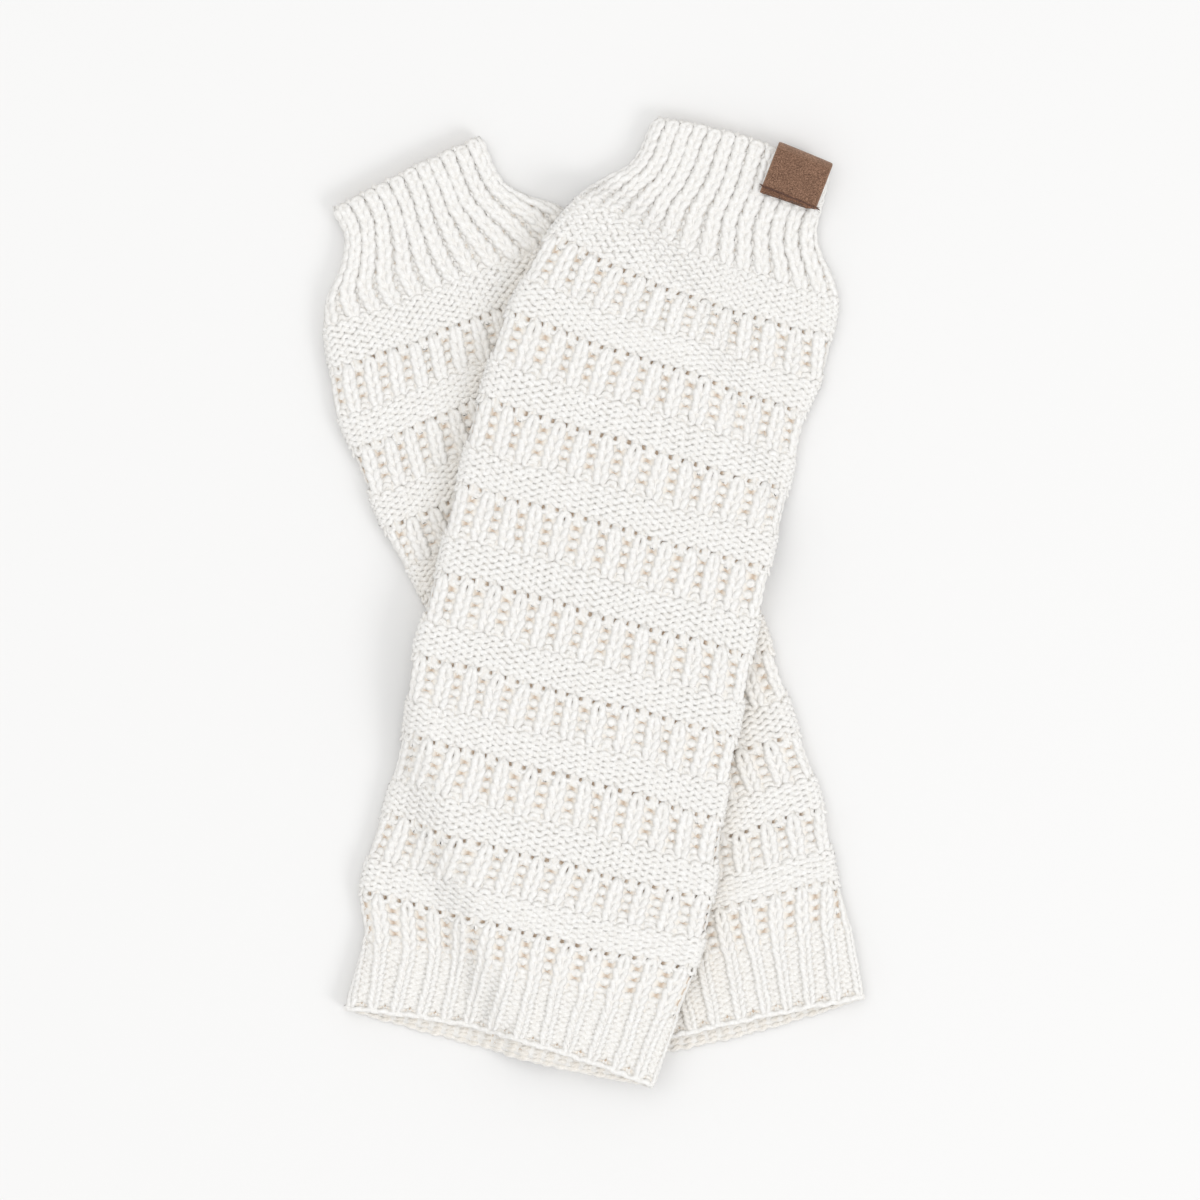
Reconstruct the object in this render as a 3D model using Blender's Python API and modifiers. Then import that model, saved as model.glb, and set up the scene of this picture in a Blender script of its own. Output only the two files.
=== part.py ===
"""A pair of chunky knitted leg warmers, laid flat and crossed, one on the other.

Each leg warmer is one knitted tube, pressed flat: a thick wall with raised ribs and welts outside
over a plain inside, open at both ends. The upper tube drapes over the lower one.
A leather patch is folded over the rim of the upper tube.

Lengths are in millimetres until the points are made. Each tube has its own axes: x across it and
"along" down it, from a point just above its rim. The part stands on z = 0.
"""

import math
from collections import namedtuple

import bmesh
import bpy
from mathutils import Vector

MM = 0.001

# Where the pair lies: the photographed spread, with its middle at the origin
SPREAD_CENTRE = (-0.44, 0.88)

# The cloth, pressed flat: two layers with a thin space between
THICK = 10.0
FOLD_REACH = 7.0
BOTTOM_LAYER = 3.4
SPACE = 1.6
MOUTH_BOTTOM_LAYER = 2.7
TOP_MOUTH_SPACE = 2.9
BOTTOM_MOUTH_SPACE = 3.5
MOUTH_DEPTH = 34.0
SIDE_WALL = 5.0
CROWN = 0.8

# The relief: how far each form lies below the crests of the ribs
WELT_DEPTH = 0.3
WELL_DEPTH = 2.2
CUFF_GROOVE_DEPTH = 2.0
FINE_WELL_DEPTH = 1.4
RIM_DEPTH = 0.5
SCALLOP = 0.7

# Ribs across the top, a rib band's share of its repeat, half the step between band and welt,
# where the top cuff's rings lie in it, and how far apart the plain inside's rings may be
RIBS = 13
RIB_SHARE = 0.47
STEP = 1.1
CUFF_RINGS = (0.2, 0.4, 0.6, 0.8)
INNER_SPACING = 14.0

# How a fold's lower half is cut, in degrees below its middle, and the plain inside's columns
FOLD_ANGLES = (20.0, 52.0)
INNER_COLUMNS = 12

# The upper tube lies on the lower one, and comes down to the floor beside it
SEAM_GAP = 0.3
DRAPE_FLAT = 8.0
DRAPE_RUN = 22.0

# The leather patch
PATCH_LEFT = 15.6
PATCH_WIDTH = 24.6
PATCH_DROP = 22.0
PATCH_INSIDE_DROP = 20.0
PATCH_INSIDE_RIGHT = 35.7
PATCH_LEAN = 0.075
PATCH_THICK = 1.0
PATCH_COLUMNS = 6
PATCH_ROWS = 5

# How the patch rounds the rim: how far below it, how far from the front or inside face's height,
# and how far the strip has gone over from its front to its inside width
Wrap = namedtuple("Wrap", "below rise turned")
FRONT_WRAP = (Wrap(0.6, 0.0, 0.1), Wrap(-0.5, -0.5, 0.3), Wrap(-0.9, -1.6, 0.4))
INSIDE_WRAP = (Wrap(-0.9, 1.2, 0.8), Wrap(-0.6, 0.2, 1.0), Wrap(0.4, 0.0, 1.0))

# One row for each station down a tube. zone names what begins there: the top cuff, a smooth welt,
# a rib band, the hem's wide ribs or its fine ones. left and right are the tube's edges, tilt is how
# far the row's right end lies below its middle, bow how far its middle lies below its ends, and
# back how much further the tube's back layer reaches.
Station = namedtuple("Station", "zone along left right tilt bow back")

UPPER_STATIONS = [
    Station("cuff", 16.8, -38.3, 41.2, 0.8, -2.3, 0.0),
    Station("", 25.5, -40.4, 41.2, 1.2, -1.5, 0.0),
    Station("", 34.2, -41.7, 41.4, 2.0, -0.5, 0.0),
    Station("", 43.5, -45.5, 41.7, 3.5, 1.0, 0.0),
    Station("", 50.2, -52.0, 45.5, 4.8, 2.6, 0.0),
    Station("", 57.8, -58.0, 53.0, 6.2, 3.8, 0.0),
    Station("welt", 65.0, -62.0, 57.4, 7.2, 4.7, 0.0),
    Station("band", 83.1, -71.4, 59.1, 5.7, 5.1, 0.0),
    Station("", 100.7, -75.7, 59.5, 5.4, 3.0, 0.0),
    Station("band", 118.6, -79.9, 56.5, 5.1, 0.9, 0.0),
    Station("band", 154.7, -82.5, 57.0, 3.4, 0.5, 0.0),
    Station("band", 190.8, -82.5, 57.0, 1.7, 0.0, 0.0),
    Station("band", 228.4, -82.0, 59.0, 1.5, 0.0, 0.0),
    Station("band", 263.9, -82.9, 61.2, 0.4, 0.0, 0.0),
    Station("band", 299.0, -79.1, 63.8, 0.9, -1.2, 0.0),
    Station("band", 333.2, -79.5, 68.0, 0.0, 1.2, 0.0),
    Station("hem", 365.1, -80.8, 68.0, -1.3, 0.8, 0.0),
    Station("fine", 385.5, -74.0, 65.5, -0.8, -0.6, 0.0),
    Station("end", 417.6, -75.2, 62.5, -0.6, -6.2, 8.5),
]

LOWER_STATIONS = [
    Station("cuff", 8.3, -39.1, 34.0, -4.9, -1.0, 0.0),
    Station("", 21.3, -37.0, 34.4, -3.8, -0.5, 0.0),
    Station("", 30.6, -40.4, 37.0, -3.4, 0.0, 0.0),
    Station("", 38.3, -45.9, 44.6, -3.0, 0.5, 0.0),
    Station("", 45.9, -53.1, 55.0, -3.0, 1.0, 0.0),
    Station("welt", 58.2, -58.2, 64.7, -2.1, 1.3, 0.0),
    Station("band", 77.8, -62.1, 73.1, -1.7, 0.5, 0.0),
    Station("", 93.5, -65.0, 76.0, -2.8, 0.0, 0.0),
    Station("band", 110.5, -63.8, 78.2, -3.8, 0.0, 0.0),
    Station("band", 146.2, -62.0, 79.5, -3.8, 0.0, 0.0),
    Station("band", 180.6, -56.1, 80.3, -1.7, 0.0, 0.0),
    Station("band", 214.6, -58.0, 80.8, 0.9, 0.0, 0.0),
    Station("band", 248.6, -62.0, 80.8, 3.4, 0.0, 0.0),
    Station("band", 285.2, -63.8, 79.9, 4.3, 0.0, 0.0),
    Station("band", 318.3, -63.8, 79.5, 4.7, 0.0, 0.0),
    Station("hem", 346.8, -64.2, 75.2, 6.8, 0.0, 0.0),
    Station("fine", 366.4, -64.6, 74.0, 6.8, 0.0, 0.0),
    Station("end", 398.1, -66.3, 69.7, 7.3, -2.0, 7.0),
]

# name, stations, where its axes start, how far they are turned, and how finely its underside is cut
Tube = namedtuple("Tube", "name stations start_x start_y turn under_columns")

UPPER = Tube("leg_warmer_upper", UPPER_STATIONS, 66.3, 213.8, math.radians(-14.09), 18)
LOWER = Tube("leg_warmer_lower", LOWER_STATIONS, -80.75, 192.5, math.radians(18.84), 10)

# Where each rib's crest and well start and end, in rib widths, and how deep the two lie
Relief = namedtuple("Relief", "crest_start crest_end well_start well_end crest_depth well_depth")

RELIEFS = {
    "rim": Relief(0.03, 0.68, 0.77, 0.92, RIM_DEPTH, CUFF_GROOVE_DEPTH),
    "cuff": Relief(0.03, 0.68, 0.77, 0.92, 0.0, CUFF_GROOVE_DEPTH),
    "welt": Relief(0.10, 0.52, 0.63, 0.99, WELT_DEPTH, WELT_DEPTH),
    "band": Relief(0.10, 0.52, 0.63, 0.99, 0.0, WELL_DEPTH),
    "fine": Relief(0.10, 0.44, 0.54, 0.98, 0.0, FINE_WELL_DEPTH),
    "end": Relief(0.10, 0.44, 0.54, 0.98, RIM_DEPTH, FINE_WELL_DEPTH),
}

CREAM = (0.86, 0.84, 0.79, 1.0)
BROWN = (0.17, 0.075, 0.04, 1.0)


def clear_scene():
    """Remove whatever the scene holds."""
    for item in list(bpy.data.objects):
        bpy.data.objects.remove(item, do_unlink=True)


def smooth_step(value):
    """0 below 0, 1 above 1, and a smooth ramp between."""
    value = min(max(value, 0.0), 1.0)
    return value * value * (3.0 - 2.0 * value)


def read_stations(stations, along, column):
    """A column of a station table at any distance down the tube, on a smooth curve."""
    places = [station.along for station in stations]
    values = [getattr(station, column) for station in stations]
    last = len(places) - 1
    index = 0
    while index < last - 1 and along > places[index + 1]:
        index += 1
    run = places[index + 1] - places[index]
    share = min(max((along - places[index]) / run, 0.0), 1.0)

    def slope(point):
        before = max(point - 1, 0)
        after = min(point + 1, last)
        return (values[after] - values[before]) / (places[after] - places[before])

    start, end = values[index], values[index + 1]
    start_slope, end_slope = slope(index) * run, slope(index + 1) * run
    square, cube = share ** 2, share ** 3
    return ((2 * cube - 3 * square + 1) * start + (cube - 2 * square + share) * start_slope
            + (3 * square - 2 * cube) * end + (cube - square) * end_slope)


def to_world(tube, across, along):
    """A place on a tube, seen from above, in the pair's own axes."""
    cosine, sine = math.cos(tube.turn), math.sin(tube.turn)
    return (tube.start_x + cosine * across + sine * along,
            tube.start_y + sine * across - cosine * along)


def to_tube(tube, x, y):
    """The tube's own across and along of a place seen from above."""
    cosine, sine = math.cos(tube.turn), math.sin(tube.turn)
    from_x, from_y = x - tube.start_x, y - tube.start_y
    return cosine * from_x + sine * from_y, sine * from_x - cosine * from_y


def row_along(tube, along, across):
    """How far down a row's line lies at one place across it, and the place as -1 to 1."""
    left = read_stations(tube.stations, along, "left")
    right = read_stations(tube.stations, along, "right")
    place = (2.0 * across - left - right) / (right - left)
    tilt = read_stations(tube.stations, along, "tilt")
    bow = read_stations(tube.stations, along, "bow")
    return along + tilt * place + bow * (1.0 - place * place), place


def outside_lower(x, y):
    """How far a place seen from above lies outside the lower tube's outline."""
    across, along = to_tube(LOWER, x, y)
    stations = LOWER.stations
    start, end = stations[0].along, stations[-1].along
    row = min(max(along, start), end)
    left = read_stations(stations, row, "left")
    right = read_stations(stations, row, "right")
    beside = max(left - across, across - right)
    place = min(max((2.0 * across - left - right) / (right - left), -1.0), 1.0)
    rim = start + place * stations[0].tilt + (1.0 - place * place) * stations[0].bow
    hem = end + place * stations[-1].tilt + stations[-1].back
    beyond = max(rim - along, along - hem)
    if beside > 0.0 and beyond > 0.0:
        return math.hypot(beside, beyond)
    return max(beside, beyond)


def lift(tube, across, along):
    """How high the tube's underside lies above the floor."""
    if tube is LOWER:
        return 0.0
    outside = outside_lower(*to_world(tube, across, along))
    return (THICK + SEAM_GAP) * (1.0 - smooth_step((outside - DRAPE_FLAT) / DRAPE_RUN))


def crown(tube, place):
    """How far the upper tube's top swells at its middle; the lower one is pressed flat."""
    return CROWN * max(0.0, 1.0 - place * place) if tube is UPPER else 0.0


def top_point(half_width, arc_share):
    """The outer section's top, from one fold's middle to the other's: place, height, normal."""
    half_thick = THICK / 2.0
    quarter = math.pi / 2.0 * math.sqrt((FOLD_REACH ** 2 + half_thick ** 2) / 2.0)
    flat = 2.0 * (half_width - FOLD_REACH)
    arc = arc_share * (flat + 2.0 * quarter)
    if quarter <= arc <= quarter + flat:
        return arc - quarter - flat / 2.0, THICK, 0.0, 1.0
    on_left = arc < quarter
    angle = (arc if on_left else 2.0 * quarter + flat - arc) / quarter * math.pi / 2.0
    side = -1.0 if on_left else 1.0
    across = side * (half_width - FOLD_REACH + FOLD_REACH * math.cos(angle))
    height = half_thick + half_thick * math.sin(angle)
    normal = Vector((side * half_thick * math.cos(angle), FOLD_REACH * math.sin(angle))).normalized()
    return across, height, normal.x, normal.y


def outer_ring(tube, along, relief, swell):
    """The outer points round a tube at one station, over the top and back along the underside."""
    left = read_stations(tube.stations, along, "left")
    right = read_stations(tube.stations, along, "right")
    centre, half_width = (left + right) / 2.0, (right - left) / 2.0 + swell
    back = read_stations(tube.stations, along, "back")
    points = []
    for rib in range(RIBS):
        for phase, depth in ((relief.crest_start, relief.crest_depth),
                             (relief.crest_end, relief.crest_depth),
                             (relief.well_start, relief.well_depth),
                             (relief.well_end, relief.well_depth)):
            across, height, normal_x, normal_z = top_point(half_width, (rib + phase) / RIBS)
            across = centre + across - depth * normal_x
            row, place = row_along(tube, along, across)
            height += crown(tube, place) - depth * normal_z + lift(tube, across, row)
            points.append((across, -row, height))
    flat_columns = tube.under_columns - 2 * len(FOLD_ANGLES)
    under = []
    for angle in FOLD_ANGLES:
        turn = math.radians(angle)
        under.append((half_width - FOLD_REACH + FOLD_REACH * math.cos(turn),
                      THICK / 2.0 * (1.0 - math.sin(turn))))
    for column in range(flat_columns):
        share = 1.0 - 2.0 * column / (flat_columns - 1)
        under.append((share * (half_width - FOLD_REACH), 0.0))
    for across, height in reversed(under[:len(FOLD_ANGLES)]):
        under.append((-across, height))
    for across, height in under:
        across += centre
        row, place = row_along(tube, along, across)
        row += back * max(0.0, 1.0 - place * place)
        points.append((across, -row, height + lift(tube, across, row)))
    return points


def inner_heights(tube, along):
    """The inside's floor and ceiling: a thin space that widens at both mouths."""
    start, end = tube.stations[0].along, tube.stations[-1].along
    at_top = 1.0 - smooth_step((along - start) / MOUTH_DEPTH)
    at_bottom = 1.0 - smooth_step((end - along) / MOUTH_DEPTH)
    floor = BOTTOM_LAYER + (MOUTH_BOTTOM_LAYER - BOTTOM_LAYER) * max(at_top, at_bottom)
    space = SPACE + (TOP_MOUTH_SPACE - SPACE) * at_top + (BOTTOM_MOUTH_SPACE - SPACE) * at_bottom
    return floor, floor + space


def inner_ring(tube, along):
    """The plain inside at one station: its ceiling from left to right, then its floor back."""
    left = read_stations(tube.stations, along, "left") + SIDE_WALL
    right = read_stations(tube.stations, along, "right") - SIDE_WALL
    back = read_stations(tube.stations, along, "back")
    floor, ceiling = inner_heights(tube, along)
    points = []
    for height, backwards in ((ceiling, False), (floor, True)):
        for column in range(INNER_COLUMNS):
            share = column / (INNER_COLUMNS - 1)
            if backwards:
                share = 1.0 - share
            across = left + share * (right - left)
            row, place = row_along(tube, along, across)
            if backwards:
                row += back * max(0.0, 1.0 - place * place)
            points.append((across, -row, height + lift(tube, across, row)))
    return points


def outer_rings(tube):
    """All outer rings down a tube: two for each rib band and two for each welt, at their edges."""
    zones = [station for station in tube.stations if station.zone]
    rings = []
    for zone, after in zip(zones, zones[1:]):
        start, end = zone.along, after.along
        length = end - start
        if zone.zone == "cuff":
            rings.append((start, "rim", -RIM_DEPTH))
            rings.append((start + STEP, "cuff", 0.0))
            for share in CUFF_RINGS:
                rings.append((start + share * length, "cuff", 0.0))
            rings.append((end - STEP, "cuff", 0.0))
        elif zone.zone == "welt":
            rings.append((start + STEP, "welt", 0.0))
            rings.append((end - STEP, "welt", SCALLOP))
        elif zone.zone == "band":
            middle = start + RIB_SHARE * length
            rings.append((start + STEP, "band", -SCALLOP))
            rings.append((middle - STEP, "band", -SCALLOP))
            rings.append((middle + STEP, "welt", SCALLOP))
            rings.append((end - STEP, "welt", SCALLOP))
        elif zone.zone == "hem":
            rings.append((start + STEP, "band", -SCALLOP))
            rings.append((end - STEP, "band", 0.0))
        elif zone.zone == "fine":
            for place in (STEP, length / 2.0, length - STEP):
                rings.append((start + place, "fine", 0.0))
            rings.append((end, "end", -RIM_DEPTH))
    return rings


def around(tube, ring, split):
    """How far round the section each point lies, 0 to 1, so that two rings can be matched."""
    turns = []
    for index, (across, down, _height) in enumerate(ring):
        place = min(max(row_along(tube, -down, across)[1], -1.0), 1.0)
        turn = 0.25 * (1.0 + place) if index < split else 0.5 + 0.25 * (1.0 - place)
        turns.append(max(turn, turns[-1]) if turns else turn)
    return turns


def zip_rings(mesh, outer, inner, outer_turns, inner_turns, flip):
    """Close a mouth: a strip of triangles between two closed rings of unlike counts."""
    one, two = 0, 0
    while one < len(outer) or two < len(inner):
        next_one = outer_turns[one + 1] if one + 1 < len(outer) else 1.0
        next_two = inner_turns[two + 1] if two + 1 < len(inner) else 1.0
        here, there = outer[one % len(outer)], inner[two % len(inner)]
        if two >= len(inner) or (one < len(outer) and next_one <= next_two):
            corners = (here, outer[(one + 1) % len(outer)], there)
            one += 1
        else:
            corners = (here, inner[(two + 1) % len(inner)], there)
            two += 1
        mesh.faces.new(corners[::-1] if flip else corners)


def loft(mesh, rings, inside_out):
    """Join closed rings of like counts, each to the next, with quads cut into triangles."""
    for ring, after in zip(rings, rings[1:]):
        for index in range(len(ring)):
            follow = (index + 1) % len(ring)
            quad = (ring[index], ring[follow], after[follow], after[index])
            if inside_out:
                quad = quad[::-1]
            mesh.faces.new((quad[0], quad[1], quad[2]))
            mesh.faces.new((quad[0], quad[2], quad[3]))


def make_material(name, color, roughness):
    """A plain material in the piece's own colour."""
    material = bpy.data.materials.new(name)
    material.use_nodes = True
    shader = material.node_tree.nodes["Principled BSDF"]
    shader.inputs["Base Color"].default_value = color
    shader.inputs["Roughness"].default_value = roughness
    shader.inputs["Metallic"].default_value = 0.0
    return material


def place_on_tube(item, tube):
    """Lay a piece that is made in a tube's own axes where that tube lies."""
    item.location = ((tube.start_x - SPREAD_CENTRE[0]) * MM, (tube.start_y - SPREAD_CENTRE[1]) * MM, 0.0)
    item.rotation_euler = (0.0, 0.0, tube.turn)


def make_tube(tube, collection, material):
    """One leg warmer: the ribbed outside, the plain inside and the two mouths' edges."""
    mesh = bmesh.new()
    split = 4 * RIBS
    outer, inner = [], []
    outer_points, inner_points = [], []
    for along, name, swell in outer_rings(tube):
        ring = outer_ring(tube, along, RELIEFS[name], swell)
        outer_points.append(ring)
        outer.append([mesh.verts.new(Vector(point) * MM) for point in ring])
    places = [station.along for station in tube.stations]
    middles = [(one + two) / 2.0 for one, two in zip(places, places[1:]) if two - one > INNER_SPACING]
    for along in sorted(places + middles):
        ring = inner_ring(tube, along)
        inner_points.append(ring)
        inner.append([mesh.verts.new(Vector(point) * MM) for point in ring])
    loft(mesh, outer, False)
    loft(mesh, inner, True)
    for end, flip in ((0, True), (-1, False)):
        zip_rings(mesh, outer[end], inner[end], around(tube, outer_points[end], split),
                  around(tube, inner_points[end], INNER_COLUMNS), flip)
    bmesh.ops.recalc_face_normals(mesh, faces=mesh.faces)
    data = bpy.data.meshes.new(tube.name)
    mesh.to_mesh(data)
    mesh.free()
    data.shade_smooth()
    data.set_sharp_from_angle(angle=math.radians(50.0))
    data.materials.append(material)
    item = bpy.data.objects.new(tube.name, data)
    collection.objects.link(item)
    place_on_tube(item, tube)
    return item


def patch_path():
    """The patch's inner face from its front edge over the rim to its inside edge.

    Each point is how far below the rim it lies, its height, and 0 in front or 1 inside.
    """
    start = UPPER.stations[0].along
    front = THICK + SEAM_GAP
    inside = inner_heights(UPPER, start)[1] - SEAM_GAP
    path = []
    for row in range(PATCH_ROWS):
        path.append((PATCH_DROP * (1.0 - row / PATCH_ROWS), front, 0.0))
    for height, wraps in ((front, FRONT_WRAP), (inside, INSIDE_WRAP)):
        path += [(wrap.below, height + wrap.rise, wrap.turned) for wrap in wraps]
    for row in range(1, PATCH_ROWS + 1):
        below = PATCH_INSIDE_DROP * row / PATCH_ROWS
        path.append((below, inner_heights(UPPER, start + below)[1] - SEAM_GAP, 1.0))
    return path


def make_patch(collection, material):
    """The leather patch: an open strip that wraps the rim, thickened outwards."""
    start = UPPER.stations[0].along
    mesh = bmesh.new()
    rows = []
    for below, height, inside in patch_path():
        row = []
        for column in range(PATCH_COLUMNS + 1):
            share = column / PATCH_COLUMNS
            front_across = PATCH_LEFT + share * PATCH_WIDTH
            inside_across = PATCH_LEFT + share * (PATCH_INSIDE_RIGHT - PATCH_LEFT)
            at_rim = front_across + (inside_across - front_across) * inside
            rim = row_along(UPPER, start, at_rim)[0]
            across = at_rim - PATCH_LEAN * below
            swell = CROWN * (1.0 - inside)
            row.append(mesh.verts.new(Vector((across, -rim - below, height + swell)) * MM))
        rows.append(row)
    for row, after in zip(rows, rows[1:]):
        for column in range(PATCH_COLUMNS):
            mesh.faces.new((row[column], row[column + 1], after[column + 1], after[column]))
    data = bpy.data.meshes.new("label")
    mesh.to_mesh(data)
    mesh.free()
    data.shade_smooth()
    data.materials.append(material)
    item = bpy.data.objects.new("label", data)
    collection.objects.link(item)
    place_on_tube(item, UPPER)
    thicken = item.modifiers.new("Thicken", "SOLIDIFY")
    thicken.thickness = PATCH_THICK * MM
    thicken.offset = 1.0
    thicken.use_even_offset = True
    return item


def main():
    """Build the pair."""
    clear_scene()
    collection = bpy.data.collections.new("leg_warmers")
    bpy.context.scene.collection.children.link(collection)
    yarn = make_material("cream_yarn", CREAM, 0.9)
    make_tube(LOWER, collection, yarn)
    make_tube(UPPER, collection, yarn)
    make_patch(collection, make_material("brown_leather", BROWN, 0.6))


main()
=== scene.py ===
"""A pair of cream knitted leg warmers, laid flat and crossed, seen from straight above.

Every course of the knitting is a yarn that runs round its tube in real loops: knit and purl
stitches in ribbed cuffs, rib bands and purl welts. Lengths are in millimetres until meshes are made.
"""

import math
from collections import namedtuple

import bmesh
import bpy
import numpy as np
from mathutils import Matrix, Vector


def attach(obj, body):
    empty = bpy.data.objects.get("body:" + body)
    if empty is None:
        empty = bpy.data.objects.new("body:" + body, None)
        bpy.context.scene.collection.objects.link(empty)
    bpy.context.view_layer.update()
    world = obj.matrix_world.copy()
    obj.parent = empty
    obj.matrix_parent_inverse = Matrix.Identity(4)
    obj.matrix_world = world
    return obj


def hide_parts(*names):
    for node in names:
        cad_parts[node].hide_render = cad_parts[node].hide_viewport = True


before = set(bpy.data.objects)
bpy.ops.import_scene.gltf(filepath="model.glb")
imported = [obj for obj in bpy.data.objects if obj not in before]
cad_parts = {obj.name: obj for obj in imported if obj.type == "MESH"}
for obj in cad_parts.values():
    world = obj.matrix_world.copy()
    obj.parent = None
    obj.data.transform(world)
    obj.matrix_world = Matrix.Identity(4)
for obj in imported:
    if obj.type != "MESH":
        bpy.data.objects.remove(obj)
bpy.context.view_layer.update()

MM = 0.001
rng = np.random.default_rng(7)

# The photograph: its width in pixels, millimetres to a pixel, and the pixel over the part's origin
PHOTO_WIDTH = 1200
MM_PER_PIXEL = 0.425
ORIGIN_PIXEL = (593.96, 600.93)
CAMERA_HEIGHT = 1500.0
SENSOR_WIDTH = 36.0

# The cloth, pressed flat, as in the part's source: a tube's height, how far its folds round off,
# how much the upper tube's top rises in the middle and the gap between the tubes
THICK = 10.0
FOLD_REACH = 7.0
CROWN = 0.8
SEAM_GAP = 0.3
# How far beside the lower tube the upper one starts to come down, and over what run
DRAPE_FLAT, DRAPE_RUN = 8.0, 22.0
# The patch's pull on the rim: how far, how far down it is felt, where along the rim, from -1 to 1,
# it starts and how much further on it is full
RIM_DENT, RIM_DENT_REACH, RIM_DENT_START, RIM_DENT_RUN = 1.95, 24.0, -0.2, 1.25
# Ribs across a tube, stitches across it and all round it, and the ribs' share of a repeat
RIBS = 13
STITCHES = 2 * RIBS
ROUND = 2 * STITCHES
RIB_SHARE = 0.51

# A place down a tube: its zone, its distance down, its two folds, its tilt and bow, how many stitches
# the ribs are shifted at the left and right fold, and how far the underside hangs out behind
Station = namedtuple("Station", "zone along left right tilt bow ribs_left ribs_right back",
                     defaults=(0.0,))

UPPER_STATIONS = [Station(*row) for row in (
    ("cuff", 16.8, -38.3, 41.2, 0.8, -2.3, 1.0, -0.2),
    ("", 25.5, -40.4, 41.2, 1.2, -1.5, 1.05, -0.25),
    ("", 34.2, -41.7, 41.4, 2.0, -0.5, 1.2, -0.4),
    ("", 43.5, -45.5, 41.7, 3.5, 1.0, 1.35, -0.7),
    ("", 50.2, -52.0, 45.5, 4.8, 2.6, 1.5, -1.0),
    ("", 57.8, -58.0, 53.0, 6.2, 3.8, 1.6, -1.2),
    ("welt", 65.0, -62.0, 57.4, 7.2, 4.7, 1.2, -0.9),
    ("band", 83.1, -71.4, 59.1, 5.7, 5.1, 0.6, -0.45),
    ("", 100.7, -75.7, 59.5, 5.4, 3.0, 0.4, 0.1),
    ("band", 118.6, -79.9, 56.5, 5.1, 0.9, 0.4, 0.65),
    ("band", 154.7, -82.5, 57.0, 3.4, 0.5, 0.4, 0.9),
    ("band", 190.8, -82.5, 57.0, 1.7, 0.0, 0.5, 0.8),
    ("band", 228.4, -82.0, 59.0, 1.5, 0.0, 0.7, 0.35),
    ("band", 263.9, -82.9, 61.2, 0.4, 0.0, 0.5, 0.5),
    ("band", 299.0, -79.1, 63.8, 0.9, -1.2, 0.0, 0.25),
    ("band", 333.2, -79.5, 68.0, 0.0, 1.2, -0.25, 0.0),
    ("hem", 365.1, -80.8, 68.0, -1.3, 0.8, -0.65, -0.15),
    ("fine", 385.5, -74.0, 65.5, -0.8, -0.6, -0.6, -0.5),
    ("end", 417.6, -75.2, 62.5, -0.6, -6.2, 0.3, -0.7, 8.5),
)]

LOWER_STATIONS = [Station(*row) for row in (
    ("cuff", 8.3, -39.1, 34.0, -4.9, -1.0, 0.2, 0.9),
    ("", 21.3, -37.0, 34.4, -3.8, -0.5, 0.2, 0.95),
    ("", 30.6, -40.4, 37.0, -3.4, 0.0, 0.2, 0.95),
    ("", 38.3, -45.9, 44.6, -3.0, 0.5, 0.3, 0.4),
    ("", 45.9, -53.1, 55.0, -3.0, 1.0, 0.4, -0.3),
    ("welt", 58.2, -58.2, 64.7, -2.1, 1.3, 1.0, -0.7),
    ("band", 77.8, -62.1, 73.1, -1.7, 0.5, 1.5, -1.0),
    ("", 93.5, -65.0, 76.0, -2.8, 0.0, 1.4, -1.1),
    ("band", 110.5, -63.8, 78.2, -3.8, 0.0, 0.9, -1.4),
    ("band", 146.2, -62.0, 79.5, -3.8, 0.0, 0.2, -0.6),
    ("band", 180.6, -56.1, 80.3, -1.7, 0.0, -0.3, 0.0),
    ("band", 214.6, -58.0, 80.8, 0.9, 0.0, -0.5, 0.4),
    ("band", 248.6, -62.0, 80.8, 3.4, 0.0, -0.7, 0.6),
    ("band", 285.2, -63.8, 79.9, 4.3, 0.0, -1.0, 0.8),
    ("band", 318.3, -63.8, 79.5, 4.7, 0.0, -1.2, 0.6),
    ("hem", 346.8, -64.2, 75.2, 6.8, 0.0, -1.3, -0.1),
    ("fine", 366.4, -64.6, 74.0, 6.8, 0.0, -0.7, -1.1),
    ("end", 398.1, -66.3, 69.7, 7.3, -2.0, -0.5, -1.5, 7.0),
)]

# A tube: its name and node, its stations, where they start in the part's frame, and its turn
Tube = namedtuple("Tube", "name node stations start_x start_y turn")
UPPER = Tube("upper", "leg_warmer_upper", UPPER_STATIONS, 66.74, 212.92, math.radians(-14.09))
LOWER = Tube("lower", "leg_warmer_lower", LOWER_STATIONS, -80.31, 191.62, math.radians(18.84))

# Where the courses lie: in one repeat of a rib band and a purl welt, and in the other zones
REPEAT = 36.1
FIRST_RIB, RIB_ROW, RIB_ROWS = 3.7, 4.6, 4
FIRST_PURL, PURL_ROW, PURL_ROWS = 20.8, 2.7, 6
CUFF_ROWS, FIRST_CUFF = 10, 4.7
FIRST_WELT_ROWS, HEM_ROWS, FINE_ROWS = 7, 4, 11
FIRST_WELT = 0.1
LAST_GAP = 4.7
# What share of a row lies between a zone's last course and the zone's end
LAST_SHARE, LAST_WELT_SHARE = 0.5, 0.7
# Half the bound edge's width
EDGE_RADIUS = 1.15
# How much of its height a course's yarn overlaps the next course's
OVERLAP = 1.25

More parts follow.
